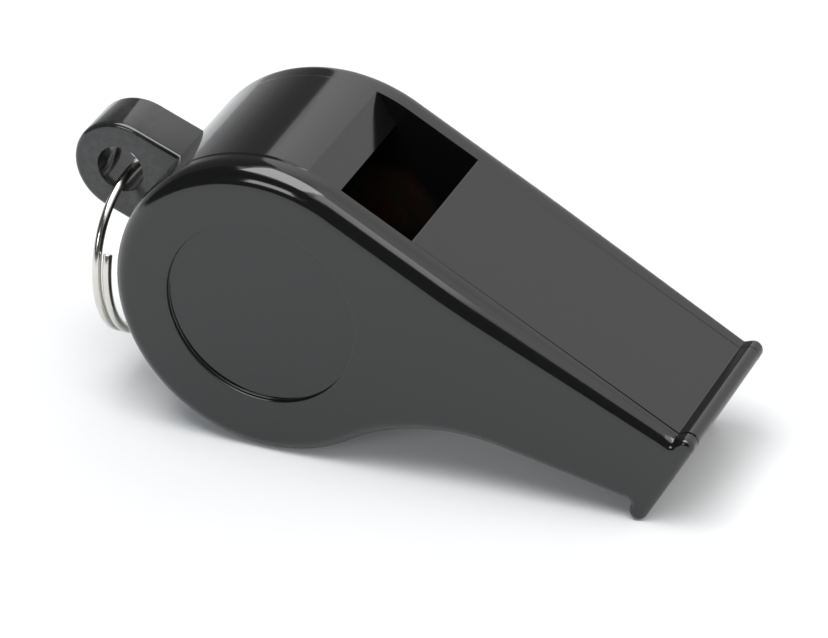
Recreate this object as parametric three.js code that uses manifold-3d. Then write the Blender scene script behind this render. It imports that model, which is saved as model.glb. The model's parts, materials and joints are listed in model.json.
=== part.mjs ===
// Pea whistle lying on a table: three plastic mouldings, a cork ball and a wire ring.
// Millimetres. X runs from the lug to the mouth, Y from left to right, Z up.
// The origin is on the table, under the middle of the outline.
import * as THREE from 'three';
import { mergeVertices } from 'three/addons/utils/BufferGeometryUtils.js';
import Module from 'manifold-3d';

const wasm = await Module();
wasm.setup();

// Barrel and widths
const BARREL_RADIUS = 12;
const BARREL_WALL = 2;
const CORE_WIDTH = 12.25;
const BODY_WIDTH = 16.9;
const MOUTH_WIDTH = 14.7;
const EDGE_ROUND_BARREL = 1.9;
const EDGE_ROUND_MOUTH = 1.15;
const EDGE_ROUND_BELOW_SHARE = 0.55;
const EDGE_ROUND_LIP = 0.5;

// Mouthpiece, measured along the roof from the barrel's axis and square to the roof
const MOUTH_REACH = 31.5;
const MOUTH_DEPTH = 6.38;
const TAPER_START = 12.35;
const UNDERSIDE_ANGLE = THREE.MathUtils.degToRad(16);
const NECK_RADIUS = 15;
const LIP_RADIUS = 0.68;
const ROOF_LIP_RISE = 0.75;
const ROOF_LIP_FILLET = 0.55;
const UNDERSIDE_LIP_RISE = 1.45;
const UNDERSIDE_LIP_FILLET = 0.2;

// Window, sharp edge and windway
const RAMP_START = -2.8;
const EDGE_PLACE = -0.25;
const EDGE_THICKNESS = 0.15;
const WINDOW_END = 6.2;
const WINDWAY_WEB = 1.1;
const ROOF_WALL_AT_WINDOW = 0.95;
const ROOF_WALL_AT_MOUTH = 1.2;
const WINDWAY_HEIGHT_AT_WINDOW = 1.3;
const WINDWAY_HEIGHT_AT_MOUTH = 3.9;

// Side plates
const RECESS_RADIUS = 7.5;
const RECESS_DEPTH = 0.35;
const SPIGOT_WALL = 1;
const SPIGOT_HEIGHT = 0.8;
const SPIGOT_CLEARANCE = 0.3;
const SPIGOT_END_ANGLE = THREE.MathUtils.degToRad(7);

// Lug
const EYE_STANDOFF = 3.15;
const LUG_DROP_ANGLE = THREE.MathUtils.degToRad(7);
const LUG_RADIUS = 3.85;
const LUG_THICKNESS = 4.4;
const LUG_EDGE = 0.45;
const EYE_RADIUS = 1.85;

// Loose pieces
const PEA_RADIUS = 5;
const PEA_CLEARANCE = 0.3;
const WIRE = 0.7;
const RING_RADIUS = 6.65;
const RING_TURN_GAP = 0.42;
const RING_SEAT_CLEARANCE = 0.36;
const RING_SHIFT = 0.2;
const RING_START_ANGLE = THREE.MathUtils.degToRad(68.5);
const RING_OVERLAP_ANGLE = 2 * Math.PI - 2 * RING_START_ANGLE;

// Facets
const BARREL_STEPS = 96;
const EDGE_STEPS = 6;
const LIP_STEPS = 9;
const FILLET_STEPS = 4;
const NECK_STEPS = 9;
const ROUND_STEPS = 72;
const EYE_STEPS = 32;
const RING_STEPS_PER_TURN = 24;
const RING_SIDES = 6;
const OVERSHOOT = 1;

const HALF_CORE = CORE_WIDTH / 2;
const CHAMBER_RADIUS = BARREL_RADIUS - BARREL_WALL;

// A profile point is (distance along the roof, height square to the roof), both from the barrel's axis.
const point = (along, up) => new THREE.Vector2(along, up);
const at = (angle, length) => point(Math.cos(angle) * length, Math.sin(angle) * length);

// The straight lines of the mouthpiece: direction towards the mouth, outward normal, distance from the axis.
const ROOF = { direction: point(1, 0), outward: point(0, 1), offset: BARREL_RADIUS };
const UNDERSIDE = { direction: at(UNDERSIDE_ANGLE, 1), outward: at(UNDERSIDE_ANGLE - Math.PI / 2, 1) };
UNDERSIDE.offset = point(MOUTH_REACH, BARREL_RADIUS - MOUTH_DEPTH).dot(UNDERSIDE.outward);

const onLine = (line, along, out) => line.direction.clone().multiplyScalar(along)
  .addScaledVector(line.outward, line.offset + out);

// A lip is a round bead flush with the mouth's end, with a hollow fillet at its foot.
function lipOf(line, rise, filletRadius) {
  const beadAlong = MOUTH_REACH - LIP_RADIUS;
  const beadOut = rise - LIP_RADIUS;
  const bead = point(beadAlong, (line.offset + beadOut - beadAlong * line.outward.x) / line.outward.y);
  const reach = Math.sqrt((LIP_RADIUS + filletRadius) ** 2 - (beadOut - filletRadius) ** 2);
  const fillet = onLine(line, bead.dot(line.direction) - reach, filletRadius);
  return { bead, fillet };
}

const ROOF_LIP = lipOf(ROOF, ROOF_LIP_RISE, ROOF_LIP_FILLET);
const UNDERSIDE_LIP = lipOf(UNDERSIDE, UNDERSIDE_LIP_RISE, UNDERSIDE_LIP_FILLET);

// The whistle rests on the barrel and on the underside lip, which sets the slope of the roof.
const REST_TILT = UNDERSIDE_LIP.bead.angle()
  + Math.asin((BARREL_RADIUS - LIP_RADIUS) / UNDERSIDE_LIP.bead.length());

const EYE = at(Math.PI + LUG_DROP_ANGLE, BARREL_RADIUS + EYE_STANDOFF);

const levelled = (profile) => profile.clone().rotateAround(point(0, 0), -REST_TILT);
const BACK_END = levelled(EYE).x - LUG_RADIUS;
const FRONT_END = levelled(ROOF_LIP.bead).x + LIP_RADIUS;
const AXIS_X = -(BACK_END + FRONT_END) / 2;
const AXIS_Z = BARREL_RADIUS;

function place(profile, y) {
  const flat = levelled(profile);
  return new THREE.Vector3(AXIS_X + flat.x, y, AXIS_Z + flat.y);
}

const neckOut = UNDERSIDE.offset + NECK_RADIUS;
const neckAlong = Math.sqrt((BARREL_RADIUS + NECK_RADIUS) ** 2 - neckOut ** 2);
const NECK = onLine(UNDERSIDE, neckAlong, NECK_RADIUS);

// Each outline entry is a profile point with its outward normal.
function arc(centre, radius, from, to, steps, hollow = false) {
  return Array.from({ length: steps + 1 }, (_, i) => {
    const angle = from + (to - from) * i / steps;
    return { profile: at(angle, radius).add(centre), outward: at(angle, hollow ? -1 : 1) };
  });
}

const angleFromTo = (from, to) => Math.atan2(to.y - from.y, to.x - from.x);

// Marks how far entries are onto a lip, from 0 at the foot of its fillet to 1 on its bead.
const ontoLip = (entries, first, last) => entries.map((entry, i) => ({
  ...entry,
  lip: THREE.MathUtils.lerp(first, last, i / (entries.length - 1)),
}));

// The side outline, anticlockwise as seen from the left: barrel, neck, underside, lips and roof.
function sideOutline() {
  const axis = point(0, 0);
  const turn = 2 * Math.PI;
  const tableAngle = 1.5 * Math.PI + REST_TILT;
  const neckAngle = NECK.angle();
  const backSteps = Math.round(BARREL_STEPS * (tableAngle - Math.PI / 2) / turn);
  const frontSteps = Math.round(BARREL_STEPS * (neckAngle - tableAngle) / turn);
  const { bead: lowBead, fillet: lowFillet } = UNDERSIDE_LIP;
  const { bead: highBead, fillet: highFillet } = ROOF_LIP;
  const intoUnderside = UNDERSIDE_ANGLE + Math.PI / 2;
  const intoLow = angleFromTo(lowFillet, lowBead);
  const intoHigh = angleFromTo(highFillet, highBead);
  return [
    ...arc(axis, BARREL_RADIUS, Math.PI / 2, tableAngle, backSteps),
    ...arc(axis, BARREL_RADIUS, tableAngle, neckAngle, frontSteps).slice(1),
    ...arc(NECK, NECK_RADIUS, neckAngle - Math.PI, intoUnderside, NECK_STEPS, true).slice(1),
    ...ontoLip(arc(lowFillet, UNDERSIDE_LIP_FILLET, intoUnderside, intoLow, FILLET_STEPS, true), 0, 1),
    ...ontoLip(arc(lowBead, LIP_RADIUS, intoLow + Math.PI, turn, LIP_STEPS), 1, 1).slice(1),
    ...ontoLip(arc(highBead, LIP_RADIUS, 0, intoHigh + Math.PI, LIP_STEPS), 1, 1),
    ...ontoLip(arc(highFillet, ROOF_LIP_FILLET, intoHigh, -Math.PI / 2, FILLET_STEPS, true), 1, 0).slice(1),
    { profile: point(TAPER_START, BARREL_RADIUS), outward: ROOF.outward },
  ];
}

const OUTLINE = sideOutline();

function solidOf(geometry) {
  const bare = geometry.clone();
  bare.deleteAttribute('normal');
  bare.deleteAttribute('uv');
  const merged = mergeVertices(bare, 1e-5);
  return new wasm.Manifold(new wasm.Mesh({
    numProp: 3,
    vertProperties: new Float32Array(merged.attributes.position.array),
    triVerts: new Uint32Array(merged.index.array),
  }));
}

function geometryOf(solid) {
  const mesh = solid.getMesh();
  const geometry = new THREE.BufferGeometry();
  geometry.setAttribute('position', new THREE.BufferAttribute(mesh.vertProperties, 3));
  geometry.setIndex(new THREE.BufferAttribute(mesh.triVerts, 1));
  geometry.computeVertexNormals();
  return geometry;
}

// A profile drawn through the whistle's width, centred on its middle plane.
function acrossWidth(shape, width, edge = 0) {
  const geometry = new THREE.ExtrudeGeometry(shape, {
    depth: width - 2 * edge,
    bevelEnabled: edge > 0,
    bevelThickness: edge,
    bevelSize: edge,
    bevelOffset: -edge,
    bevelSegments: 2,
    curveSegments: EYE_STEPS / 2,
  });
  const frame = new THREE.Matrix4().makeBasis(
    new THREE.Vector3(Math.cos(REST_TILT), 0, -Math.sin(REST_TILT)),
    new THREE.Vector3(Math.sin(REST_TILT), 0, Math.cos(REST_TILT)),
    new THREE.Vector3(0, -1, 0),
  );
  frame.setPosition(AXIS_X, width / 2 - edge, AXIS_Z);
  return geometry.applyMatrix4(frame);
}

// A round bar across the width about a profile point.
function roundAcross(centre, radius, width, steps, y = 0) {
  const middle = place(centre, y);
  return new THREE.CylinderGeometry(radius, radius, width, steps).translate(middle.x, middle.y, middle.z);
}

const chamberHeight = (along) => Math.sqrt(CHAMBER_RADIUS ** 2 - along ** 2);

// The opening over the chamber, with the wall behind it sloped down to the sharp edge.
function windowShape() {
  const rampTop = Math.sqrt(BARREL_RADIUS ** 2 - RAMP_START ** 2);
  const insideChamber = CHAMBER_RADIUS / 2;
  const aboveRoof = BARREL_RADIUS + OVERSHOOT;
  return new THREE.Shape([
    point(RAMP_START, rampTop),
    point(EDGE_PLACE, chamberHeight(EDGE_PLACE) + EDGE_THICKNESS),
    point(EDGE_PLACE, insideChamber),
    point(WINDOW_END, insideChamber),
    point(WINDOW_END, aboveRoof),
    point(RAMP_START, aboveRoof),
  ]);
}

// The air slot, which narrows from the mouth to the window and points at the sharp edge.
function windwayShape() {
  const slope = (atWindow, atMouth, along) => atWindow
    + (atMouth - atWindow) * (along - WINDOW_END) / (MOUTH_REACH - WINDOW_END);
  const roofAtWindow = BARREL_RADIUS - ROOF_WALL_AT_WINDOW;
  const roofAtMouth = BARREL_RADIUS - ROOF_WALL_AT_MOUTH;
  const roof = (along) => point(along, slope(roofAtWindow, roofAtMouth, along));
  const floor = (along) => point(along, slope(
    roofAtWindow - WINDWAY_HEIGHT_AT_WINDOW,
    roofAtMouth - WINDWAY_HEIGHT_AT_MOUTH,
    along,
  ));
  const inner = WINDOW_END - OVERSHOOT;
  const outer = MOUTH_REACH + OVERSHOOT;
  return new THREE.Shape([floor(inner), floor(outer), roof(outer), roof(inner)]);
}

// The tongue behind the barrel, rounded about its eye.
function lugShape() {
  const axisAngle = EYE.angle();
  const side = at(axisAngle + Math.PI / 2, LUG_RADIUS);
  const root = at(axisAngle, CHAMBER_RADIUS - BARREL_WALL);
  const shape = new THREE.Shape();
  shape.moveTo(root.x - side.x, root.y - side.y);
  shape.absarc(EYE.x, EYE.y, LUG_RADIUS, axisAngle - Math.PI / 2, axisAngle + Math.PI / 2);
  shape.lineTo(root.x + side.x, root.y + side.y);
  return shape;
}

function centreBody() {
  const through = CORE_WIDTH + 2 * OVERSHOOT;
  const block = new THREE.Shape(OUTLINE.map((entry) => entry.profile));
  const windwayWidth = CORE_WIDTH - 2 * WINDWAY_WEB;
  const body = solidOf(acrossWidth(block, CORE_WIDTH))
    .add(solidOf(acrossWidth(lugShape(), LUG_THICKNESS, LUG_EDGE)))
    .subtract(solidOf(roundAcross(point(0, 0), CHAMBER_RADIUS, through, ROUND_STEPS)))
    .subtract(solidOf(acrossWidth(windowShape(), through)))
    .subtract(solidOf(acrossWidth(windwayShape(), windwayWidth)))
    .subtract(solidOf(roundAcross(EYE, EYE_RADIUS, through, EYE_STEPS)));
  return geometryOf(body);
}

// How far the plates are from the barrel towards the mouth, from 0 to 1, and the sizes that follow it.
const taper = (along) => THREE.MathUtils.clamp((along - TAPER_START) / (MOUTH_REACH - TAPER_START), 0, 1);
const halfWidth = (along) => THREE.MathUtils.lerp(BODY_WIDTH, MOUTH_WIDTH, taper(along)) / 2;

// The rounding of a plate's outer edge, which is smaller towards the mouth, below, and on the lips.
function edgeRound({ profile, outward, lip = 0 }) {
  const above = THREE.MathUtils.lerp(EDGE_ROUND_BARREL, EDGE_ROUND_MOUTH, taper(profile.x));
  const wall = above * THREE.MathUtils.lerp(EDGE_ROUND_BELOW_SHARE, 1, (1 + outward.y) / 2);
  return THREE.MathUtils.lerp(wall, EDGE_ROUND_LIP, lip);
}

// One ring of plate points: the outline drawn in by the rounding, at its distance from the middle plane.
function plateRing(turn) {
  return OUTLINE.map((entry) => {
    const { profile, outward } = entry;
    const round = edgeRound(entry);
    const drawnIn = profile.clone().addScaledVector(outward, -round * (1 - Math.cos(turn)));
    return { profile: drawnIn, out: halfWidth(drawnIn.x) - round * (1 - Math.sin(turn)) };
  });
}

// A side wall as a loft from the seam out to the flat face, with its outer edge rounded. The face bends
// where the taper starts, so it is filled on both sides of that line. side is -1 for left and 1 for right.
function plateBlank(side) {
  const seam = OUTLINE.map(({ profile }) => ({ profile, out: HALF_CORE }));
  const rings = [seam];
  for (let step = 0; step <= EDGE_STEPS; step += 1) {
    rings.push(plateRing(step / EDGE_STEPS * Math.PI / 2));
  }
  const count = OUTLINE.length;
  const positions = rings.flat().flatMap(({ profile, out }) => place(profile, side * out).toArray());
  const triangles = [];
  const fill = (corners, ring, outside) => {
    const flat = corners.map((corner) => rings[ring][corner].profile);
    for (const [a, b, c] of THREE.ShapeUtils.triangulateShape(flat, [])) {
      const anticlockwise = THREE.ShapeUtils.area([flat[a], flat[b], flat[c]]) > 0;
      const order = anticlockwise === outside ? [a, b, c] : [a, c, b];
      triangles.push(order.map((corner) => ring * count + corners[corner]));
    }
  };
  const all = OUTLINE.map((_, i) => i);
  fill(all, 0, false);
  for (let ring = 0; ring + 1 < rings.length; ring += 1) {
    for (let i = 0; i < count; i += 1) {
      const next = (i + 1) % count;
      const [a, b] = [ring * count + i, ring * count + next];
      const [c, d] = [b + count, a + count];
      triangles.push([a, b, c], [a, c, d]);
    }
  }
  const lower = all.filter((i) => OUTLINE[i].profile.y < 0);
  const offBend = (i) => Math.abs(OUTLINE[i].profile.x - TAPER_START);
  const bend = lower.reduce((best, i) => (offBend(i) < offBend(best) ? i : best));
  fill([...all.slice(0, bend + 1), count - 1], rings.length - 1, true);
  fill(all.slice(bend), rings.length - 1, true);
  const geometry = new THREE.BufferGeometry();
  geometry.setAttribute('position', new THREE.Float32BufferAttribute(positions, 3));
  geometry.setIndex(triangles.map(([a, b, c]) => (side < 0 ? [a, b, c] : [a, c, b])).flat());
  return geometry;
}

// The low rib that locates a plate in the barrel's bore, open across the window.
function spigotShape() {
  const outer = CHAMBER_RADIUS - SPIGOT_CLEARANCE;
  const start = Math.acos(EDGE_PLACE / CHAMBER_RADIUS) + SPIGOT_END_ANGLE;
  const end = 2 * Math.PI + Math.acos(WINDOW_END / CHAMBER_RADIUS) - SPIGOT_END_ANGLE;
  const ring = (radius) => arc(point(0, 0), radius, start, end, ROUND_STEPS).map((entry) => entry.profile);
  return new THREE.Shape([...ring(outer), ...ring(outer - SPIGOT_WALL).reverse()]);
}

function sidePlate(side) {
  const face = side * BODY_WIDTH / 2;
  const recess = roundAcross(point(0, 0), RECESS_RADIUS, 2 * RECESS_DEPTH, ROUND_STEPS, face);
  const spigot = acrossWidth(spigotShape(), 2 * SPIGOT_HEIGHT).translate(0, side * HALF_CORE, 0);
  return geometryOf(solidOf(plateBlank(side)).subtract(solidOf(recess)).add(solidOf(spigot)));
}

function corkPea() {
  const rest = place(point(0, 0), 0);
  rest.z -= CHAMBER_RADIUS - PEA_CLEARANCE - PEA_RADIUS;
  return new THREE.SphereGeometry(PEA_RADIUS, 32, 20).translate(rest.x, rest.y, rest.z);
}

// The ring's wire: just over one and a half turns. It starts a third of the way down on the left, in the lane
// next to the barrel, crosses to the other lane through the eye at the top, and ends level with its start on
// the right. The ring rests in the eye a little towards the barrel.
class RingWire extends THREE.Curve {
  getPoint(t) {
    const angle = RING_START_ANGLE + t * (2 * Math.PI + RING_OVERLAP_ANGLE);
    const crossing = (angle - RING_START_ANGLE - RING_OVERLAP_ANGLE) / (2 * Math.PI - RING_OVERLAP_ANGLE);
    const lane = Math.cos(Math.PI * THREE.MathUtils.clamp(crossing, 0, 1)) * (WIRE + RING_TURN_GAP) / 2;
    const eye = place(EYE, 0);
    const sag = RING_RADIUS - Math.sqrt(RING_RADIUS ** 2 - (LUG_THICKNESS / 2) ** 2);
    const seat = EYE_RADIUS - WIRE / 2 - RING_SEAT_CLEARANCE - sag;
    return new THREE.Vector3(
      eye.x + RING_SHIFT + lane,
      -RING_RADIUS * Math.sin(angle),
      eye.z - seat - RING_RADIUS * (1 - Math.cos(angle)),
    );
  }
}

function leastTurnGap(wire) {
  const samples = wire.getPoints(400);
  const turn = 2 * Math.PI * RING_RADIUS;
  const spacing = wire.getLength() / (samples.length - 1);
  const apart = Math.round(turn / 4 / spacing);
  let least = Infinity;
  samples.forEach((sample, i) => {
    samples.slice(i + apart).forEach((other) => {
      least = Math.min(least, sample.distanceTo(other) - WIRE);
    });
  });
  return least;
}

function splitRing() {
  const wire = new RingWire();
  console.log(`split ring: least gap between its turns ${leastTurnGap(wire).toFixed(3)} mm`);
  const turns = 1 + RING_OVERLAP_ANGLE / (2 * Math.PI);
  const section = new THREE.Shape(Array.from(
    { length: RING_SIDES },
    (_, i) => at(2 * Math.PI * i / RING_SIDES, WIRE / 2),
  ));
  return new THREE.ExtrudeGeometry(section, {
    steps: Math.round(RING_STEPS_PER_TURN * turns),
    extrudePath: wire,
    bevelEnabled: false,
  });
}

const BLACK_PLASTIC = new THREE.MeshStandardMaterial({ color: 0x131315, roughness: 0.22, metalness: 0 });
const CORK = new THREE.MeshStandardMaterial({ color: 0xb88a58, roughness: 0.9, metalness: 0 });
const NICKEL = new THREE.MeshStandardMaterial({ color: 0xc9c7c2, roughness: 0.18, metalness: 1 });

const whistle = new THREE.Group();
function addPiece(name, geometry, material) {
  const mesh = new THREE.Mesh(geometry, material);
  mesh.name = name;
  whistle.add(mesh);
}

addPiece('centre_body', centreBody(), BLACK_PLASTIC);
addPiece('left_side_plate', sidePlate(-1), BLACK_PLASTIC);
addPiece('right_side_plate', sidePlate(1), BLACK_PLASTIC);
addPiece('cork_pea', corkPea(), CORK);
addPiece('split_ring', splitRing(), NICKEL);

export default whistle;
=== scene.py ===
import json
import math

import bmesh
import bpy
import numpy as np
from mathutils import Matrix, Vector
from mathutils.geometry import delaunay_2d_cdt


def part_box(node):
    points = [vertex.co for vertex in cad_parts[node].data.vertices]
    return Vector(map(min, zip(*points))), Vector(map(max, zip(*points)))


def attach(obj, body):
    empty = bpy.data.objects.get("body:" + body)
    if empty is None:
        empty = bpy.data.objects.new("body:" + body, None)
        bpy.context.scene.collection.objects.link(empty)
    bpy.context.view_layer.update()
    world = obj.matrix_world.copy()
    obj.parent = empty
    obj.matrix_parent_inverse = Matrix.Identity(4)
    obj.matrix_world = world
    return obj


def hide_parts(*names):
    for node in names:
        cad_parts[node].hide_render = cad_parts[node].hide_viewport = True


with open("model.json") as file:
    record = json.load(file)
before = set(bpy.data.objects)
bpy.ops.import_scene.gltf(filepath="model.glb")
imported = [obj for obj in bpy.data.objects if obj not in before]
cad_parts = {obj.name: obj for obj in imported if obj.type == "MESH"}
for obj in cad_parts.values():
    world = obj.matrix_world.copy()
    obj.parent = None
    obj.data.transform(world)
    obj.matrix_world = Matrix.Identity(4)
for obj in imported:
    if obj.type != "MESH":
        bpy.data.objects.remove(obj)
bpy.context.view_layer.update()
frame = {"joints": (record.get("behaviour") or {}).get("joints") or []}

# Centre moulding. The middle slice of the whistle, moulded in black gloss plastic in one shot: barrel
# wall, windway, sharp edge, the middle of both lips and the lug. The side plates are welded to its two
# flat faces.
MM = 0.001
joint_place = {joint["name"]: np.array(joint["pos_m"]) / MM for joint in frame["joints"]}
axis_place = joint_place["pea_orbit"]
eye_place = joint_place["ring_swing"]
half_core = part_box("centre_body")[1].y / MM
barrel_radius = axis_place[2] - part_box("left_side_plate")[0].z / MM
barrel_wall = 2
chamber_radius = barrel_radius - barrel_wall
mouth_reach = 31.5
mouth_depth = 6.38
underside_angle = math.radians(16)
neck_radius = 15
lip_radius = 0.68
roof_lip_rise = 0.75
roof_lip_slope = math.radians(50)
roof_lip_fillet = 0.12
underside_lip_rise = 1.45
underside_lip_slope = math.radians(90)
underside_lip_fillet = 0.42
ramp_start = -2.8
edge_place = -0.25
edge_thickness = 0.15
window_end = 6.2
window_round = 0.12
windway_web = 1.1
roof_wall_at_window = 0.95
roof_wall_at_mouth = 1.2
windway_height_at_window = 1.3
windway_height_at_mouth = 3.9
seam_places = (-8, -4, -2.8, 8, 31)
seam_slopes = (3, 3, 1, 1, 1)
left_seam = (0.08, 0.08, 0.012, 0.012, 0.08)
right_seam = (0.008, 0.008, 0.004, 0.004, 0.03)
seam_margin = 0.08
barrel_steps = 190
neck_steps = 44
bead_steps = 26
fillet_steps = 10
chamber_steps = 160
window_steps = 5
underside_shares = (0.03, 0.5, 0.97)
core_roof_places = (29, 18, window_end + 2 * window_round)
merge_distance = 1e-4
fill_tolerance = 1e-7
crease_angle = 30


def ray(angle):
    """Unit vectors at the angles: cosine along the roof, sine square to it."""
    return np.stack([np.cos(angle), np.sin(angle)], axis=-1)


def arc(centre, radius, start, end, steps, hollow=False):
    """Rows of place and outward normal on an arc: centre plus radius times the ray at evenly spaced
    angles. The normal of a hollow arc points to its centre."""
    rays = ray(np.linspace(start, end, steps + 1))
    return np.hstack([centre + radius * rays, -rays if hollow else rays])


def straight(start, end, shares, normal):
    """Rows of place and normal on a line, at the given shares of the way from start to end."""
    shares = np.asarray(shares, float)[:, None]
    places = np.asarray(start) + shares * (np.asarray(end) - np.asarray(start))
    return np.hstack([places, np.broadcast_to(normal, places.shape)])


def heading(start, end):
    """The angle of the line from start to end."""
    return math.atan2(end[1] - start[1], end[0] - start[0])


roof_normal = ray(math.pi / 2)
underside_direction = ray(underside_angle)
underside_normal = ray(underside_angle - math.pi / 2)
underside_offset = np.dot([mouth_reach, barrel_radius - mouth_depth], underside_normal)


def lip(direction, normal, offset, rise, slope, fillet_radius):
    """Centres of a lip's round bead, flush with the mouth, and of the hollow fillet at the foot of the
    sloping line that touches both, and how far that foot is from the bead's centre."""
    out = rise - lip_radius
    along = mouth_reach - lip_radius
    bead = np.array([along, (offset + out - along * normal[0]) / normal[1]])
    rounds = lip_radius + fillet_radius * (1 - math.cos(slope))
    reach = (out * math.cos(slope) + rounds) / math.sin(slope)
    fillet = (bead @ direction - reach) * direction + (offset + fillet_radius) * normal
    return bead, fillet, math.hypot(reach, out)


high_bead, high_fillet, high_foot = lip(
    ray(0), roof_normal, barrel_radius, roof_lip_rise, roof_lip_slope, roof_lip_fillet,
)
low_bead, low_fillet, low_foot = lip(
    underside_direction, underside_normal, underside_offset,
    underside_lip_rise, underside_lip_slope, underside_lip_fillet,
)
rest_lean = math.asin((barrel_radius - lip_radius) / np.hypot(*low_bead))
rest_tilt = heading((0, 0), low_bead) + rest_lean

neck_out = underside_offset + neck_radius
neck_along = math.sqrt((barrel_radius + neck_radius) ** 2 - neck_out ** 2)
neck_centre = neck_along * underside_direction + neck_out * underside_normal
neck_angle = heading((0, 0), neck_centre) + 2 * math.pi


def outer_path(barrel_start, mouth_places, roof_places):
    """The side outline: barrel from barrel_start round the back and the table, hollow neck, underside,
    low lip, mouth with a row at each of mouth_places, high lip, and back along the roof with a row at
    each of roof_places."""
    under = underside_angle + math.pi / 2
    low_join = under - underside_lip_slope
    high_join = roof_lip_slope - math.pi / 2
    neck = arc(neck_centre, neck_radius, neck_angle - math.pi, under, neck_steps, hollow=True)
    low_hollow = arc(low_fillet, underside_lip_fillet, under, low_join, fillet_steps, hollow=True)
    return np.vstack([
        arc((0, 0), barrel_radius, barrel_start, neck_angle, barrel_steps),
        neck[1:],
        straight(neck[-1, :2], low_hollow[0, :2], underside_shares, underside_normal),
        low_hollow,
        arc(low_bead, lip_radius, low_join - math.pi, 0, bead_steps),
        straight((mouth_reach, 0), (mouth_reach, 1), mouth_places, ray(0)),
        arc(high_bead, lip_radius, 0, high_join + math.pi, bead_steps),
        arc(high_fillet, roof_lip_fillet, high_join, -math.pi / 2, fillet_steps, hollow=True),
        straight((0, barrel_radius), (1, barrel_radius), roof_places, roof_normal),
    ])


def placed(profile, y):
    """Profile places (along the roof, square to it) and y, turned by the rest tilt and moved to the
    barrel's axis."""
    along, up = profile[..., 0], profile[..., 1]
    x = axis_place[0] + along * math.cos(rest_tilt) + up * math.sin(rest_tilt)
    z = axis_place[2] - along * math.sin(rest_tilt) + up * math.cos(rest_tilt)
    return np.stack([x, np.broadcast_to(y, x.shape), z], axis=-1)


def point_numbers(grid):
    """The numbers of a grid's points, counted row by row, in the grid's own shape."""
    return np.arange(grid.size).reshape(grid.shape)


def grid_faces(index, wrap_rows=False, wrap_columns=False):
    """Four-sided faces between neighbouring rows and columns of an array of point numbers. A wrap joins
    the last row or column to the first."""
    index = np.concatenate([index, index[:1]]) if wrap_rows else index
    index = np.concatenate([index, index[:, :1]], axis=1) if wrap_columns else index
    return np.stack([index[:-1, :-1], index[1:, :-1], index[1:, 1:], index[:-1, 1:]], axis=-1)


def filled(loops, numbers):
    """Triangles of the flat area inside the first closed loop, as point numbers. Other loops are round
    holes in it: a triangle with all its corners on a hole lies in that hole and is left out."""
    counts = [len(loop) for loop in loops]
    starts = np.cumsum([0] + counts[:-1])
    edges = [
        (start + i, start + (i + 1) % count)
        for start, count in zip(starts, counts) for i in range(count)
    ]
    flat = [Vector(place) for loop in loops for place in loop.tolist()]
    triangles = np.array(delaunay_2d_cdt(flat, edges, [], 1, fill_tolerance)[2])
    in_hole = (triangles >= counts[0]).all(axis=1)
    return np.concatenate(numbers)[triangles[~in_hole]]


def smooth(mesh, sharp_angle):
    """Shades a mesh smooth, but for edges that turn by more than the sharp angle, in degrees."""
    mesh.shade_smooth()
    mesh.set_sharp_from_angle(angle=math.radians(sharp_angle))


def put_in_scene(name, data):
    """An object that holds the data, linked to the scene."""
    thing = bpy.data.objects.new(name, data)
    bpy.context.scene.collection.objects.link(thing)
    return thing


def make_piece(name, points, face_lists, sharp_angle=crease_angle):
    """A mesh object from points in millimetres: doubles merged, faces turned outward, smooth but for
    sharp edges."""
    mesh = bpy.data.meshes.new(name)
    face_rows = [np.asarray(rows).reshape(-1, np.shape(rows)[-1]).tolist() for rows in face_lists]
    faces = [row for rows in face_rows for row in rows]
    mesh.from_pydata((points.reshape(-1, 3) * MM).tolist(), [], faces)
    work = bmesh.new()
    work.from_mesh(mesh)
    bmesh.ops.remove_doubles(work, verts=work.verts, dist=merge_distance * MM)
    bmesh.ops.recalc_face_normals(work, faces=work.faces)
    work.to_mesh(mesh)
    work.free()
    smooth(mesh, sharp_angle)
    return put_in_scene(name, mesh)


def weld_on(piece, addition):
    """Joins a second closed piece to the first where they run into each other, and removes the
    second."""
    union = piece.modifiers.new("weld", "BOOLEAN")
    union.operation = "UNION"
    union.solver = "EXACT"
    union.object = addition
    welded = piece.evaluated_get(bpy.context.evaluated_depsgraph_get())
    joined = bpy.data.meshes.new_from_object(welded)
    piece.modifiers.clear()
    piece.data = joined
    bpy.data.objects.remove(addition)
    smooth(joined, crease_angle)


def nearest(rows, place):
    """The number of the row whose place is nearest to the one given."""
    return int(np.argmin(np.hypot(*(rows[:, :2] - place).T)))


def seam_groove(along, depths):
    """How deep a welded seam's edges are broken along it, and over what width: depth times slope. The
    seam is tight by the window, opens to the mouth, and has a wide slope over the barrel's top."""
    depth = np.interp(along, seam_places, depths)
    return depth, depth * np.interp(along, seam_places, seam_slopes)


windway_roof = np.array([
    [window_end, barrel_radius - roof_wall_at_window],
    [mouth_reach, barrel_radius - roof_wall_at_mouth],
])
windway_floor = windway_roof - [[0, windway_height_at_window], [0, windway_height_at_mouth]]
ramp_angle = math.acos(ramp_start / barrel_radius)
edge_angle = math.acos(edge_place / chamber_radius)
wall_angle = math.acos(window_end / chamber_radius)
window_corner = (window_end + window_round, barrel_radius - window_round)
chamber = arc((0, 0), chamber_radius, wall_angle, edge_angle - 2 * math.pi, chamber_steps, hollow=True)
edge_top = [edge_place, chamber_radius * math.sin(edge_angle) + edge_thickness]

# Inside the whistle the seam stays whole, so the rows there have no normal to be drawn in along.
bare = np.zeros(2)
core_rows = np.vstack([
    outer_path(ramp_angle, [windway_floor[1, 1], windway_roof[1, 1]], core_roof_places),
    arc(window_corner, window_round, math.pi / 2, math.pi, window_steps),
    np.hstack([windway_roof[0], bare]),
    np.hstack([windway_floor[0], bare]),
    chamber * [1, 1, 0, 0],
    np.hstack([edge_top, bare]),
])

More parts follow.
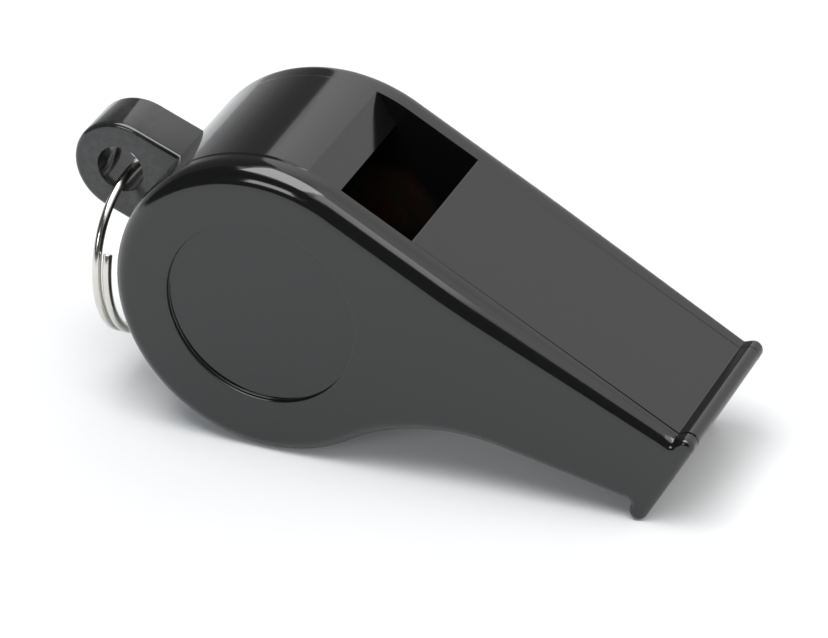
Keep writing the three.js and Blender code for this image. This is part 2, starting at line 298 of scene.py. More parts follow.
# The slice is carried from its left face to its right face in eight sections: face, broken edge and
# margin of the left seam, both sides of the windway, and the same of the right seam.
web = half_core - windway_web
left_depth, left_width = seam_groove(core_rows[:, 0], left_seam)
right_depth, right_width = seam_groove(core_rows[:, 0], right_seam)
flush = np.zeros(len(core_rows))
core_broken = np.stack([left_depth, *[flush] * 6, right_depth])
core_level = np.stack([
    flush - half_core, left_width - half_core, left_width + seam_margin - half_core, flush - web,
    flush + web, half_core - right_width - seam_margin, half_core - right_width, flush + half_core,
])
core_profile = core_rows[None, :, :2] - core_broken[..., None] * core_rows[None, :, 2:]
core_points = placed(core_profile, core_level)
core_index = point_numbers(core_points[..., 0])
core_faces = grid_faces(core_index, wrap_columns=True)

# The windway is a tunnel: the two faces at its ends are left out and its four walls put in.
windway_side = 3
mouth_gap = nearest(core_rows, windway_floor[1])
window_gap = nearest(core_rows, windway_roof[0])
open_cells = np.zeros(core_faces.shape[:2], bool)
open_cells[windway_side, [mouth_gap, window_gap]] = True
windway_corners = [window_gap, window_gap + 1, mouth_gap, mouth_gap + 1]
windway_ends = core_index[windway_side:windway_side + 2][:, windway_corners]
roof_in, floor_in, floor_out, roof_out = windway_ends.T
windway_section = np.array([
    [roof_in[0], roof_in[1], floor_in[1], floor_in[0]],
    [roof_out[0], roof_out[1], floor_out[1], floor_out[0]],
])
core = make_piece("core_moulding", core_points, [
    core_faces[~open_cells],
    grid_faces(windway_section, wrap_columns=True),
    filled([core_profile[0]], [core_index[0]]),
    filled([core_profile[-1]], [core_index[-1]]),
])

# The lug is part of the same moulding: a flat tongue that points away from the barrel's axis, rounded
# about its eye. Its root runs into the barrel's wall.
lug_radius = 3.85
lug_half = 2.2
lug_edge = 0.45
eye_radius = 1.85
eye_edge = 0.06
lug_face_margin = 0.08
lug_root_depth = 0.8
lug_root_margin = 1e-3
lug_nose_points = 61
lug_root_points = 41
lug_edge_points = 7
tiny = 1e-9
outward = (eye_place - axis_place)[[0, 2]]
eye_distance = np.hypot(*outward)
outward /= eye_distance
lug_turns = np.concatenate([
    np.linspace(-math.pi / 2, math.pi / 2, lug_nose_points),
    np.linspace(math.pi / 2, 3 * math.pi / 2, lug_root_points)[1:-1],
])
lug_rays = ray(lug_turns)
root_reach = eye_distance - barrel_radius + lug_root_depth
square_reach = np.minimum(
    lug_radius / np.maximum(np.abs(lug_rays[:, 1]), tiny),
    root_reach / np.maximum(-lug_rays[:, 0], tiny),
)
lug_reach = np.where(lug_rays[:, 0] >= -tiny, lug_radius, square_reach)
lug_outline = lug_rays * lug_reach[:, None]
lug_normal = np.where(lug_rays[:, :1] >= 0, lug_rays, np.sign(lug_rays[:, 1:]) * [[0, 1]])
lug_normal = np.where(lug_outline[:, :1] <= lug_root_margin - root_reach, 0, lug_normal)

# A row of the lug's section is 1 on the outline or 0 on the bore, how far it is set in, and its y.
quarter = np.linspace(0, math.pi / 2, lug_edge_points)
half_section = np.concatenate([
    np.stack([
        np.ones_like(quarter),
        lug_edge * (1 - np.cos(quarter)),
        lug_half - lug_edge * (1 - np.sin(quarter)),
    ], axis=1),
    [[1, lug_edge + lug_face_margin, lug_half], [0, eye_edge + lug_face_margin, lug_half]],
    np.stack([
        np.zeros_like(quarter),
        eye_edge * (1 - np.sin(quarter)),
        lug_half - eye_edge * (1 - np.cos(quarter)),
    ], axis=1),
])
lug_section = np.concatenate([half_section, half_section[::-1] * [1, 1, -1]])
on_rim, set_in, lug_y = (column[:, None] for column in lug_section.T)
rim = lug_outline[None] - set_in[..., None] * lug_normal[None]
bore = (eye_radius + set_in)[..., None] * lug_rays[None]
lug_flat = np.where(on_rim[..., None] > 0.5, rim, bore)
lug_x = eye_place[0] + lug_flat[..., 0] * outward[0] - lug_flat[..., 1] * outward[1]
lug_z = eye_place[2] + lug_flat[..., 0] * outward[1] + lug_flat[..., 1] * outward[0]
lug_points = np.stack([lug_x, np.broadcast_to(lug_y, lug_x.shape), lug_z], axis=-1)
lug_faces = grid_faces(point_numbers(lug_x), wrap_rows=True, wrap_columns=True)
lug = make_piece("lug", lug_points, [lug_faces])
weld_on(core, lug)

# The gloss plastic: almost black, with the faint flow ripple, hairlines and dust that a moulded face
# picks up.
# Near its eye the lug is painted a little paler: a painted sheen for the brighter light it catches
# there, broken into fine scuffs where the ring has rubbed it, fading out from the eye.
plastic_black = (0.0052, 0.0053, 0.0056, 1)
dust_grey = (0.011, 0.011, 0.0105, 1)
# Paler grey of the lug's painted sheen and scuffs near its eye.
scuff_sheen_grey = (0.045, 0.045, 0.046, 1)
hairline_roughness = 0.05
hairline_height = -0.25
scuff_sheen_near = 0.0036
scuff_sheen_far = 0.0052
moulded_skin = bpy.data.node_groups.new("moulded_skin", "ShaderNodeTree")
for socket, side in (
    ("Ripple Scale", "INPUT"),
    ("Hairline Scale", "INPUT"),
    ("Dust", "OUTPUT"),
    ("Roughness", "OUTPUT"),
    ("Height", "OUTPUT"),
):
    moulded_skin.interface.new_socket(name=socket, in_out=side, socket_type="NodeSocketFloat")


def add_node(tree, kind, **settings):
    """A node with its settings; a key with its first letter capital sets the input socket of that
    name."""
    node = tree.nodes.new(kind)
    for key, value in settings.items():
        if key[0].isupper():
            node.inputs[key.replace("_", " ")].default_value = value
        else:
            setattr(node, key, value)
    return node


def ramp_node(tree, stops):
    """A colour ramp with (place, colour) stops."""
    node = tree.nodes.new("ShaderNodeValToRGB")
    for element, (place, colour) in zip(node.color_ramp.elements, stops):
        element.position = place
        element.color = colour
    return node


def colour_mix(tree, first=None, second=None, **settings):
    """A node that mixes two colours, given as its sockets by name: share, first, second and mixed."""
    node = add_node(tree, "ShaderNodeMix", data_type="RGBA", **settings)
    sockets = {"share": node.inputs[0], "first": node.inputs[6], "second": node.inputs[7]}
    for name, colour in (("first", first), ("second", second)):
        if colour:
            sockets[name].default_value = colour
    return {**sockets, "mixed": node.outputs[2]}


def link_all(tree, *pairs):
    """Links the output socket of each pair to its input socket."""
    for source, target in pairs:
        tree.links.new(source, target)


mask_off, mask_on = (0, 0, 0, 1), (1, 1, 1, 1)
skin_in = add_node(moulded_skin, "NodeGroupInput")
skin_out = add_node(moulded_skin, "NodeGroupOutput")
skin_place = add_node(moulded_skin, "ShaderNodeTexCoord")
ripple = add_node(moulded_skin, "ShaderNodeTexNoise", Detail=2.0, Roughness=0.5)
stretch = add_node(
    moulded_skin, "ShaderNodeMapping", Rotation=(0.3, 0.5, 0.4), Scale=(1.0, 0.04, 1.0),
)
hairline = add_node(moulded_skin, "ShaderNodeTexNoise", Detail=1.0)
hairline_mask = ramp_node(moulded_skin, [(0.66, mask_off), (0.72, mask_on)])
specks = add_node(moulded_skin, "ShaderNodeTexVoronoi", Scale=1400.0)
speck_mask = ramp_node(moulded_skin, [(0.05, mask_on), (0.09, mask_off)])
rough_sum = add_node(moulded_skin, "ShaderNodeMath", operation="MULTIPLY_ADD")
rough_sum.inputs[1].default_value = hairline_roughness
height_sum = add_node(moulded_skin, "ShaderNodeMath", operation="MULTIPLY_ADD")
height_sum.inputs[1].default_value = hairline_height
gloss_range = add_node(moulded_skin, "ShaderNodeMapRange", To_Min=0.08, To_Max=0.13)
link_all(
    moulded_skin,
    (skin_place.outputs["Object"], ripple.inputs["Vector"]),
    (skin_place.outputs["Object"], stretch.inputs["Vector"]),
    (skin_place.outputs["Object"], specks.inputs["Vector"]),
    (stretch.outputs["Vector"], hairline.inputs["Vector"]),
    (skin_in.outputs["Ripple Scale"], ripple.inputs["Scale"]),
    (skin_in.outputs["Hairline Scale"], hairline.inputs["Scale"]),
    (hairline.outputs["Fac"], hairline_mask.inputs["Fac"]),
    (specks.outputs["Distance"], speck_mask.inputs["Fac"]),
    (ripple.outputs["Fac"], gloss_range.inputs["Value"]),
    (hairline_mask.outputs["Color"], rough_sum.inputs[0]),
    (gloss_range.outputs["Result"], rough_sum.inputs[2]),
    (hairline_mask.outputs["Color"], height_sum.inputs[0]),
    (ripple.outputs["Fac"], height_sum.inputs[2]),
    (speck_mask.outputs["Color"], skin_out.inputs["Dust"]),
    (rough_sum.outputs["Value"], skin_out.inputs["Roughness"]),
    (height_sum.outputs["Value"], skin_out.inputs["Height"]),
)


def new_material(name):
    """A material with its node tree and Principled shader."""
    material = bpy.data.materials.new(name)
    material.use_nodes = True
    return material, material.node_tree, material.node_tree.nodes["Principled BSDF"]


black_plastic, plastic_tree, plastic_shader = new_material("black_gloss_plastic")
skin = add_node(
    plastic_tree, "ShaderNodeGroup", node_tree=moulded_skin,
    Ripple_Scale=260.0, Hairline_Scale=1500.0,
)
plastic_tint = colour_mix(plastic_tree, plastic_black, dust_grey)
plastic_bump = add_node(plastic_tree, "ShaderNodeBump", Strength=0.02, Distance=0.00005)
plastic_shader.inputs["IOR"].default_value = 1.59
# Painted sheen on the lug: the base colour turns paler near the eye, fading with distance and broken
# into fine scuffs.
scuff_sheen_place = add_node(plastic_tree, "ShaderNodeTexCoord")
scuff_sheen_reach = add_node(plastic_tree, "ShaderNodeVectorMath", operation="DISTANCE")
scuff_sheen_reach.inputs[1].default_value = eye_place * MM
scuff_sheen_fade = add_node(
    plastic_tree, "ShaderNodeMapRange",
    From_Min=scuff_sheen_near, From_Max=scuff_sheen_far, To_Min=1.0, To_Max=0.0,
)
scuff_sheen_grain = add_node(plastic_tree, "ShaderNodeTexNoise", Scale=1800.0, Detail=3.0)
scuff_sheen_mask = add_node(plastic_tree, "ShaderNodeMath", operation="MULTIPLY")
scuff_sheen_tint = colour_mix(plastic_tree, second=scuff_sheen_grey)
link_all(
    plastic_tree,
    (skin.outputs["Dust"], plastic_tint["share"]),
    (scuff_sheen_place.outputs["Object"], scuff_sheen_reach.inputs[0]),
    (scuff_sheen_place.outputs["Object"], scuff_sheen_grain.inputs["Vector"]),
    (scuff_sheen_reach.outputs["Value"], scuff_sheen_fade.inputs["Value"]),
    (scuff_sheen_fade.outputs["Result"], scuff_sheen_mask.inputs[0]),
    (scuff_sheen_grain.outputs["Fac"], scuff_sheen_mask.inputs[1]),
    (scuff_sheen_mask.outputs["Value"], scuff_sheen_tint["share"]),
    (plastic_tint["mixed"], scuff_sheen_tint["first"]),
    (scuff_sheen_tint["mixed"], plastic_shader.inputs["Base Color"]),
    (skin.outputs["Roughness"], plastic_shader.inputs["Roughness"]),
    (skin.outputs["Height"], plastic_bump.inputs["Height"]),
    (plastic_bump.outputs["Normal"], plastic_shader.inputs["Normal"]),
)
core.data.materials.clear()
core.data.materials.append(black_plastic)
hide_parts("centre_body")
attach(core, "whistle")

# Side plates. Two mirrored covers in the same plastic, welded to the centre moulding along a fine seam.
# Each has a rounded outer edge, a shallow round panel on the barrel's axis, and a low rib that locates
# it in the barrel's bore.
half_body = -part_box("left_side_plate")[0].y / MM
half_mouth = 14.7 / 2
left_edge_rounds = (1.9, 1.15)
right_edge_rounds = (1.4, 0.45)
edge_round_below_share = 0.55
edge_round_lip = 0.5
edge_points = 19
left_lip_groove = 0.14
right_lip_groove = 0.05
taper_start = 12.35
taper_blend = 2.4
neck_share = 0.3
recess_radius = 7.5
recess_depth = 0.35
recess_edge = 0.1
recess_fillet = 0.06
recess_edge_points = 6
recess_sides = 192
face_step = 0.07
plate_mouth_places = (6.5, 10.5)
mouth_roof_places = (29, 22)
barrel_roof_places = (6, 0.3)
rib_wall = 1
rib_height = 0.8
rib_clearance = 0.3
rib_root = 0.4
rib_end_angle = math.radians(7)
rib_points_along = 120


def taper(along):
    """How far a place is from the barrel to the mouth, from 0 to 1; a parabola rounds the start of the
    slope."""
    past = (along - taper_start).clip(-taper_blend, None)
    rounded = (past + taper_blend) ** 2 / (4 * taper_blend)
    return np.where(past < taper_blend, rounded, past) / (mouth_reach - taper_start)


def on_lip(rows):
    """How far rows are onto a lip: 0 at the foot of its fillet, 1 on its bead and over the mouth."""
    share = np.zeros(len(rows))
    for bead, foot in ((high_bead, high_foot), (low_bead, low_foot)):
        away = np.hypot(*(rows[:, :2] - bead).T)
        share = np.maximum(share, ((foot - away) / (foot - lip_radius)).clip(0, 1))
    return np.where(rows[:, 0] >= mouth_reach - lip_radius, 1, share)


def edge_round(rows, rounds):
    """The outer edge's radius, from the barrel's to the mouth's: it shrinks in proportion to the taper,
    as the wall turns from facing up to facing down, and on the lips."""
    above = rounds[0] + (rounds[1] - rounds[0]) * taper(rows[:, 0])
    facing_up = (1 - edge_round_below_share) * (1 + rows[:, 3]) / 2
    wall = above * (edge_round_below_share + facing_up)
    return wall + (edge_round_lip - wall) * on_lip(rows)


def half_width(along):
    """Half the whistle's width over the plates, which shrinks in proportion to the taper."""
    return half_body + (half_mouth - half_body) * taper(along)


def plate_rings(rows, rounds, seam, lip_groove):
    """Rings from the seam out: seam chamfer, straight wall, outer edge turned through a quarter circle,
    and face. Each is the outline drawn in along its normals, with its distance from the middle plane."""
    turn = np.linspace(0, math.pi / 2, edge_points)[:, None]
    radius = edge_round(rows, rounds)[None]
    drawn = np.concatenate([radius * (1 - np.cos(turn)), radius + face_step])
    back = np.concatenate([radius * (1 - np.sin(turn)), 0 * radius])
    profile = rows[None, :, :2] - drawn[..., None] * rows[None, :, 2:]
    out = half_width(profile[..., 0]) - back
    groove = seam_groove(rows[:, 0], seam)[0]
    groove = groove + (lip_groove - groove) * on_lip(rows)
    inner = np.stack([rows[:, :2] - groove[:, None] * rows[:, 2:], rows[:, :2], rows[:, :2]])
    broken = half_core + groove
    inner_out = np.stack([np.full(len(rows), half_core), broken, (broken + out[0]) / 2])
    return np.concatenate([inner, profile]), np.concatenate([inner_out, out])


def turned(profile, steps):
    """Rings about the barrel's axis from (radius, depth) rows: radius times the ray at evenly spaced
    angles."""
    rays = ray(np.linspace(0, 2 * math.pi, steps, endpoint=False))
    return profile[:, None, :1] * rays[None], np.broadcast_to(profile[:, 1:], (len(profile), steps))


def side_plate(name, side, *edges):
    """One cover: the lofted shell, its face filled round the recess, the turned recess and the rib. The
    edges are its edge rounds, seam depths and lip groove. Where the face bends into the taper, the roof
    has a row opposite each row of the neck, and strips of faces run across between them."""
    trial = outer_path(math.pi / 2, [], [])
    trial_face = plate_rings(trial, *edges)[0][-1]
    in_bend = np.abs(trial_face[:, 0] - taper_start) < taper_blend
    on_neck = (trial[:, 1] < neck_share * barrel_radius) & in_bend
    bend_places = trial_face[on_neck, 0][::-1]
    roof_places = np.concatenate([mouth_roof_places, bend_places, barrel_roof_places])
    rows = outer_path(math.pi / 2, plate_mouth_places, roof_places)
    profile, out = plate_rings(rows, *edges)
    index = point_numbers(out)
    low = np.flatnonzero(on_neck)
    bend_end = len(rows) - len(barrel_roof_places)
    high = np.arange(bend_end - len(bend_places), bend_end)
    face, face_index = profile[-1], index[-1]
    barrel_part = np.concatenate([np.arange(low[0] + 1), np.arange(high[-1], len(rows))])
    mouth_part = np.arange(low[-1], high[0] + 1)
    bend_part = np.stack([face_index[low], face_index[high[::-1]]])

    turn = np.linspace(0, math.pi / 2, recess_edge_points)
    recess_rows = np.concatenate([
        [[recess_radius + recess_edge + face_step, 0]],
        np.stack([
            recess_radius + recess_edge * (1 - np.sin(turn)),
            recess_edge * (1 - np.cos(turn)),
        ], axis=1),
        np.stack([
            recess_radius - recess_fillet * (1 - np.cos(turn)),
            recess_depth - recess_fillet * (1 - np.sin(turn)),
        ], axis=1),
        [[recess_radius - recess_fillet - face_step, recess_depth]],
    ])
    recess_profile, recess_drop = turned(recess_rows, recess_sides)
    recess_index = index.size + point_numbers(recess_drop)
    points = np.concatenate([
        placed(profile, side * out).reshape(-1, 3),
        placed(recess_profile, side * (half_body - recess_drop)).reshape(-1, 3),
    ])
    plate = make_piece(name, points, [
        grid_faces(index, wrap_columns=True),
        filled([profile[0]], [index[0]]),
        filled([face[barrel_part], recess_profile[0]], [face_index[barrel_part], recess_index[0]]),
        filled([face[mouth_part]], [face_index[mouth_part]]),
        grid_faces(bend_part),
        grid_faces(recess_index, wrap_columns=True),
        filled([recess_profile[-1]], [recess_index[-1]]),
    ])

    outer = chamber_radius - rib_clearance
    rib_start = edge_angle + rib_end_angle
    rib_end = 2 * math.pi + wall_angle - rib_end_angle
    sweep = np.linspace(rib_start, rib_end, rib_points_along)
    corner_radius = np.array([outer, outer, outer - rib_wall, outer - rib_wall])
    corner_y = half_core + np.array([rib_root, -rib_height, -rib_height, rib_root])
    rib_profile = corner_radius[:, None, None] * ray(sweep)[None]
    rib_points = placed(rib_profile, side * corner_y[:, None])
    rib_index = point_numbers(rib_points[..., 0])
    rib = make_piece(name + "_rib", rib_points, [
        grid_faces(rib_index, wrap_rows=True), rib_index[None, :, 0], rib_index[None, :, -1],
    ])
    weld_on(plate, rib)
    plate.data.materials.clear()
    plate.data.materials.append(black_plastic)
    return plate


left_plate = side_plate("left_plate", -1, left_edge_rounds, left_seam, left_lip_groove)
right_plate = side_plate("right_plate", 1, right_edge_rounds, right_seam, right_lip_groove)
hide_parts("left_side_plate")
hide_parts("right_side_plate")
for plate in (left_plate, right_plate):
    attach(plate, "whistle")

# Pea. A ball turned from natural cork, loose in the barrel, where the breath drives it round. Its
# surface is pitted where the cork's cells are open.
pea_low, pea_high = (np.array(corner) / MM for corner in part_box("cork_pea"))
pea_centre = (pea_low + pea_high) / 2
pea_radius = (pea_high[2] - pea_low[2]) / 2
pea_sides = 160
pea_rows = 81
pit_count = 90
pit_depth = 0.22
pit_width = 0.13
pit_least_share = 0.35
pit_seed = 11
cork_dark = (0.08, 0.038, 0.015, 1)
cork_pale = (0.3, 0.165, 0.07, 1)
cork_fleck_share = 0.5

# The ball is its centre plus its radius times the ray at each turn and rise. A pit lowers the radius by
# a bell curve of the angle between the ray and the pit's own.
pea_turn = np.linspace(0, 2 * math.pi, pea_sides, endpoint=False)
pea_rise = np.linspace(0, math.pi, pea_rows)[:, None]
pea_rays = np.stack([
    np.sin(pea_rise) * np.cos(pea_turn),
    np.sin(pea_rise) * np.sin(pea_turn),
    np.cos(pea_rise) * np.ones_like(pea_turn),
], axis=-1)
pit_source = np.random.default_rng(pit_seed)
pit_rays = pit_source.normal(size=(pit_count, 3))
pit_rays /= np.linalg.norm(pit_rays, axis=1)[:, None]
pit_sizes = pit_width * pit_source.uniform(pit_least_share, 1, pit_count)
pit_angles = np.arccos(np.clip(pea_rays @ pit_rays.T, -1, 1))
pits = (np.exp(-(pit_angles / pit_sizes) ** 2) * pit_sizes / pit_width).max(-1)
pea_points = pea_centre + (pea_radius - pit_depth * pits)[..., None] * pea_rays
pea_faces = grid_faces(point_numbers(pea_points[..., 0]), wrap_columns=True)
pea = make_piece("pea_ball", pea_points, [pea_faces], sharp_angle=80)

cork, cork_tree, cork_shader = new_material("cork")
cork_place = add_node(cork_tree, "ShaderNodeTexCoord")
cork_grain = add_node(cork_tree, "ShaderNodeTexNoise", Scale=900.0, Detail=6.0, Roughness=0.7)
cork_flecks = add_node(cork_tree, "ShaderNodeTexVoronoi", Scale=700.0)
cork_tan = ramp_node(cork_tree, [(0.3, cork_dark), (0.62, cork_pale)])
cork_mix = colour_mix(cork_tree, blend_type="MULTIPLY")
cork_mix["share"].default_value = cork_fleck_share
cork_bump = add_node(cork_tree, "ShaderNodeBump", Strength=0.6, Distance=0.0002)
cork_shader.inputs["Roughness"].default_value = 0.86
link_all(
    cork_tree,
    (cork_place.outputs["Object"], cork_grain.inputs["Vector"]),
    (cork_place.outputs["Object"], cork_flecks.inputs["Vector"]),
    (cork_grain.outputs["Fac"], cork_tan.inputs["Fac"]),
    (cork_tan.outputs["Color"], cork_mix["first"]),
    (cork_flecks.outputs["Color"], cork_mix["second"]),
    (cork_mix["mixed"], cork_shader.inputs["Base Color"]),
    (cork_grain.outputs["Fac"], cork_bump.inputs["Height"]),
    (cork_bump.outputs["Normal"], cork_shader.inputs["Normal"]),
)
pea.data.materials.append(cork)
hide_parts("cork_pea")
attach(pea, "pea")

# Split ring. Nickel plated steel wire wound a little over one and a half turns, sprung through the
# lug's eye and hanging from it. The turns lie side by side; the crossing from one to the other is in
# the eye.
wire = 0.7
ring_radius = 6.65
turn_pitch = 0.85
seat_clearance = 0.36
ring_shift = 0.2
ring_start = math.radians(68.5)
ring_overlap = 2 * math.pi - 2 * ring_start
end_chamfer = 0.06
ring_points_along = 340
wire_sides = 24
nickel_dark = (0.62, 0.60, 0.55, 1)
nickel_pale = (0.74, 0.73, 0.70, 1)

# The wire is a circle carried round the ring: the spine is the ring's centre plus its radius times the
# ray, moved sideways from one lane to the other by half a cosine over the crossing.
ring_sag = ring_radius - math.sqrt(ring_radius ** 2 - lug_half ** 2)
ring_seat = eye_radius - wire / 2 - seat_clearance - ring_sag
ring_centre = eye_place + [ring_shift, 0, -ring_seat - ring_radius]
ring_span = 2 * math.pi + ring_overlap
end_turn = end_chamfer / ring_radius
end_share = 1 - 2 * end_chamfer / wire
ring_angle = ring_start + np.concatenate([
    [0, 0], np.linspace(end_turn, ring_span - end_turn, ring_points_along), [ring_span, ring_span],
])
wire_share = np.concatenate([[0, end_share], np.ones(ring_points_along), [end_share, 0]])
crossing = (ring_angle - ring_start - ring_overlap) / (2 * math.pi - ring_overlap)
lane = np.cos(math.pi * crossing.clip(0, 1)) * turn_pitch / 2
around = np.linspace(0, 2 * math.pi, wire_sides, endpoint=False)
radial = np.stack([0 * ring_angle, -np.sin(ring_angle), np.cos(ring_angle)], axis=1)
sideways = np.array([1, 0, 0])
spine = ring_centre + ring_radius * radial + lane[:, None] * sideways
reach_out = (wire / 2 * wire_share)[:, None, None]
ring_points = spine[:, None] + reach_out * (
    np.cos(around)[None, :, None] * radial[:, None] + np.sin(around)[None, :, None] * sideways
)
ring_faces = grid_faces(point_numbers(ring_points[..., 0]), wrap_columns=True)
ring = make_piece("ring_wire", ring_points, [ring_faces], sharp_angle=40)

nickel, nickel_tree, nickel_shader = new_material("nickel_plate")
nickel_place = add_node(nickel_tree, "ShaderNodeTexCoord")
nickel_cloud = add_node(nickel_tree, "ShaderNodeTexNoise", Scale=600.0, Detail=4.0)
nickel_gloss = add_node(nickel_tree, "ShaderNodeMapRange", To_Min=0.1, To_Max=0.24)
nickel_tone = colour_mix(nickel_tree, nickel_dark, nickel_pale)
nickel_bump = add_node(nickel_tree, "ShaderNodeBump", Strength=0.08, Distance=0.00005)
nickel_shader.inputs["Metallic"].default_value = 1.0
link_all(
    nickel_tree,
    (nickel_place.outputs["Object"], nickel_cloud.inputs["Vector"]),
    (nickel_cloud.outputs["Fac"], nickel_gloss.inputs["Value"]),
    (nickel_cloud.outputs["Fac"], nickel_tone["share"]),
    (nickel_cloud.outputs["Fac"], nickel_bump.inputs["Height"]),
    (nickel_tone["mixed"], nickel_shader.inputs["Base Color"]),
    (nickel_gloss.outputs["Result"], nickel_shader.inputs["Roughness"]),
    (nickel_bump.outputs["Normal"], nickel_shader.inputs["Normal"]),
)
ring.data.materials.append(nickel)
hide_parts("split_ring")
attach(ring, "ring")

# Table. A plain white sheet under the whistle, which keeps the soft shadow. A little light of its own,
# which only the camera and reflections see, brings it up to paper white.
table_half = 1.6
table_lift = 0.06
sheet_white = (0.79, 0.79, 0.79, 1)
paper_white = (1, 1, 1, 1)


def seen_directly(tree):
    """A value of 1 for camera, glossy and transmission rays, and 0 for the rays that light other
    things."""
    path = add_node(tree, "ShaderNodeLightPath")
    either = add_node(tree, "ShaderNodeMath", operation="MAXIMUM")
    any_of = add_node(tree, "ShaderNodeMath", operation="MAXIMUM")
    link_all(
        tree,
        (path.outputs["Is Camera Ray"], either.inputs[0]),
        (path.outputs["Is Glossy Ray"], either.inputs[1]),
        (either.outputs["Value"], any_of.inputs[0]),
        (path.outputs["Is Transmission Ray"], any_of.inputs[1]),
    )
    return any_of.outputs["Value"]


table_corners = table_half * np.array([[-1, -1, 0], [1, -1, 0], [1, 1, 0], [-1, 1, 0]])
table_mesh = bpy.data.meshes.new("table")
table_mesh.from_pydata(table_corners.tolist(), [], [(0, 1, 2, 3)])
table = put_in_scene("table", table_mesh)
white_sheet, sheet_tree, sheet_shader = new_material("white_sheet")
sheet_shader.inputs["Base Color"].default_value = sheet_white
sheet_shader.inputs["Roughness"].default_value = 0.9
sheet_shader.inputs["Specular IOR Level"].default_value = 0
sheet_shader.inputs["Emission Color"].default_value = paper_white
sheet_lift = add_node(sheet_tree, "ShaderNodeMath", operation="MULTIPLY")
sheet_lift.inputs[1].default_value = table_lift
link_all(
    sheet_tree,
    (seen_directly(sheet_tree), sheet_lift.inputs[0]),
    (sheet_lift.outputs["Value"], sheet_shader.inputs["Emission Strength"]),
)
table_mesh.materials.append(white_sheet)

# Studio. A softbox overhead, a little in front of the whistle, a low softbox at the front left and a
# weak panel on the right. White walls behind and on the right light the table too. The room to the left
# and front is dim, and the gloss plastic shows it as its dark bands; a low flag at the left keeps the
# table's glare off the barrel.
room_fill = (0.16, 0.19, 0.22, 1)
card_points = 33


def area_lamp(name, place, size, radiance, level=False):
    """A rectangular lamp that faces the whistle, or straight down if level. Its face has the given
    radiance: power is radiance times pi times its area."""
    data = bpy.data.lights.new(name, "AREA")
    data.shape = "RECTANGLE"
    data.size, data.size_y = size
    data.energy = radiance * math.pi * size[0] * size[1]
    lamp = put_in_scene(name, data)
    lamp.location = place
    if not level:
        lamp.rotation_euler = (-lamp.location).to_track_quat("-Z", "Y").to_euler()


def round_about(azimuth, distance, height):
    """A place at an azimuth from the front, in degrees, a distance out and a height up."""
    turn = np.radians(azimuth)
    place = np.broadcast_arrays(distance * np.sin(turn), -distance * np.cos(turn), height)
    return np.stack(place, axis=-1)


def room_card(name, azimuths, elevations, glow, lights=False, radius=1.2):
    """Part of an upright cylinder about the whistle, between two azimuths, with a row of points at each
    elevation. Each row's glow goes evenly from its first to its last value. The camera doesn't see it,
    and only a card that lights falls on dull surfaces."""
    share = np.linspace(0, 1, card_points)
    turn = azimuths[0] + (azimuths[1] - azimuths[0]) * share[None]
    height = radius * np.tan(np.radians(elevations))[:, None]
    glow = np.array(glow, np.float32)
    level = glow[:, :1] + (glow[:, 1:] - glow[:, :1]) * share.astype(np.float32)
    points = round_about(turn, radius, height)
    faces = grid_faces(point_numbers(points[..., 0])).reshape(-1, 4)
    mesh = bpy.data.meshes.new(name)
    mesh.from_pydata(points.reshape(-1, 3).tolist(), [], faces.tolist())
    brightness = mesh.attributes.new("glow", "FLOAT", "POINT")
    brightness.data.foreach_set("value", level.ravel())
    material = bpy.data.materials.new(name)
    material.use_nodes = True
    tree = material.node_tree
    tree.nodes.clear()
    reading = add_node(tree, "ShaderNodeAttribute", attribute_name="glow")
    emission = add_node(tree, "ShaderNodeEmission")
    output = add_node(tree, "ShaderNodeOutputMaterial")
    link_all(
        tree,
        (reading.outputs["Fac"], emission.inputs["Strength"]),
        (emission.outputs["Emission"], output.inputs["Surface"]),
    )
    mesh.materials.append(material)
    card = put_in_scene(name, mesh)
    card.visible_camera = False
    card.visible_diffuse = lights
    card.visible_shadow = False


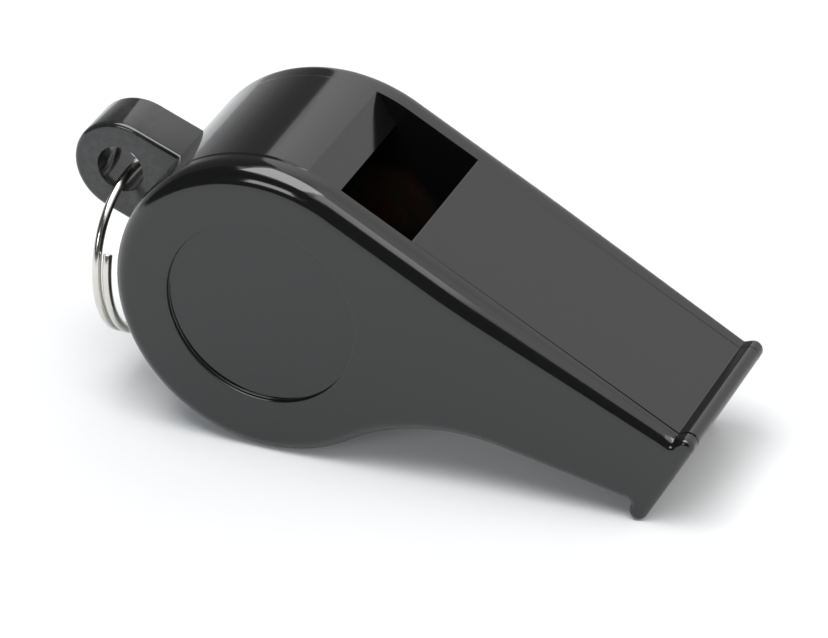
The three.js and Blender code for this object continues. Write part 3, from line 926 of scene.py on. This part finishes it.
area_lamp("softbox", place=(-0.085, -0.153, 0.8), size=(0.62, 0.5), radiance=5.6)
area_lamp("low_softbox", place=round_about(-17, 1.0, 0.47), size=(0.36, 0.24), radiance=5.0)
area_lamp("side_panel", place=(0.315, -0.365, 0.8), size=(0.23, 0.43), radiance=1.8, level=True)
back_rows = (0, 12, 35, 72)
back_right_glow = ((1.15, 0.9), (1.1, 1), (1.15, 1.05), (1.35, 1.25))
back_left_glow = ((0.9, 0.6), (1, 0.95), (1.05, 1.45), (1.25, 1.55))
left_rows = (0, 8, 14, 21, 64)
left_glow = ((0.5, 0.5), (0.38, 0.38), (0.26, 0.26), (0.18, 0.18), (0.1, 0.1))
room_card("back_right", (122, 160), back_rows, back_right_glow, lights=True)
room_card("back_left", (160, 207), back_rows, back_left_glow, lights=True)
room_card("left_wall", (207, 268), left_rows, left_glow)
room_card("left_flag", (209.5, 268), (0, 8.6), ((0.6, 0.6), (0.5, 0.5)), radius=0.19)
room_card("front_wall", (268, 372), (0, 56), ((0.07, 0.07), (0.05, 0.05)))
room_card("front_right_wall", (372, 410), (0, 47.5), ((0.07, 0.07), (0.06, 0.06)))
room_card("right_ceiling", (48, 122), (47.5, 75), ((1.35, 1.35), (1.4, 1.4)), lights=True)
room_card("right_wall", (50, 122), (0, 47.5), ((1, 1), (1.2, 1.2)), lights=True)

studio = bpy.data.worlds.new("studio")
bpy.context.scene.world = studio
studio.use_nodes = True
studio_tree = studio.node_tree
studio_light = studio_tree.nodes["Background"]
studio_level = colour_mix(studio_tree, room_fill, paper_white)
link_all(
    studio_tree,
    (seen_directly(studio_tree), studio_level["share"]),
    (studio_level["mixed"], studio_light.inputs["Color"]),
)
bpy.context.scene.view_settings.view_transform = "Standard"

# Camera. A long lens in front of the left side and above, turned a little clockwise as in the
# photograph. It looks at a place ahead of the barrel's axis and below it.
camera_azimuth = math.radians(24.685)
camera_elevation = math.radians(32.154)
camera_roll = math.radians(-2.133)
camera_distance = 437.4
camera_target = axis_place + [8.52, 0, -3.55]
camera_data = bpy.data.cameras.new("camera")
camera_data.sensor_width = 36
camera_data.lens = 257.33
camera_data.clip_start = 0.01
camera_data.clip_end = 10
camera = put_in_scene("camera", camera_data)
backward = Vector((
    math.sin(camera_azimuth) * math.cos(camera_elevation),
    -math.cos(camera_azimuth) * math.cos(camera_elevation),
    math.sin(camera_elevation),
))
flat_right = Vector((math.cos(camera_azimuth), math.sin(camera_azimuth), 0))
upright = backward.cross(flat_right)
rightward = math.cos(camera_roll) * flat_right + math.sin(camera_roll) * upright
upward = backward.cross(rightward)
camera_turn = Matrix((rightward, upward, backward)).transposed()
camera_place = Vector(camera_target * MM) + backward * camera_distance * MM
camera.matrix_world = Matrix.Translation(camera_place) @ camera_turn.to_4x4()
bpy.context.scene.camera = camera
